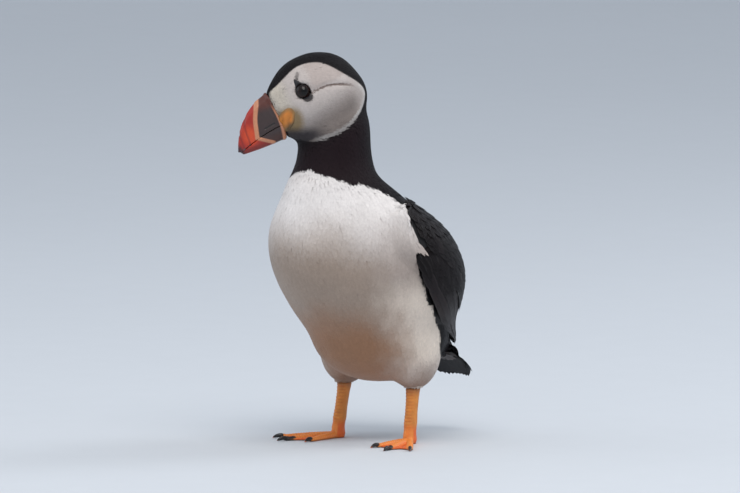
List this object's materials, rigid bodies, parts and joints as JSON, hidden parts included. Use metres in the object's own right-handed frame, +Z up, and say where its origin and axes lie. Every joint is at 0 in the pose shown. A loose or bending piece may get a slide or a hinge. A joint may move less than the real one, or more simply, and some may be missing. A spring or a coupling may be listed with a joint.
{
  "type": "atlantic puffin",
  "caption": "Still life-size Atlantic puffin, standing upright with folded wings and its head turned, for a natural history display.",
  "frame": {"origin": "on the floor, under the middle of the bird's box", "axes": "+Z up; the bird's body faces -Y and its left side is +X; the head is turned to its right"},
  "size_m": [0.1148, 0.1626, 0.2375],
  "materials": {
    "face_plumage": "soft grey-white face feathers",
    "black_plumage": "brown-black feathers with a faint sheen",
    "white_plumage": "soft white breast and belly feathers",
    "bill_horn": "ridged orange-red horn with a slate base",
    "eye": "wet dark eye",
    "orange_skin": "scaly orange leg and web skin"
  },
  "bodies": {
    "root": {"head": "face_plumage", "neck": "black_plumage", "trunk": "white_plumage", "tail": "black_plumage", "wing_left": "black_plumage", "wing_right": "black_plumage", "bill_upper": "bill_horn", "bill_lower": "bill_horn", "eye_left": "eye", "eye_right": "eye", "leg_left": "orange_skin", "leg_right": "orange_skin", "foot_left": "orange_skin", "foot_right": "orange_skin"}
  },
  "joints": []
}
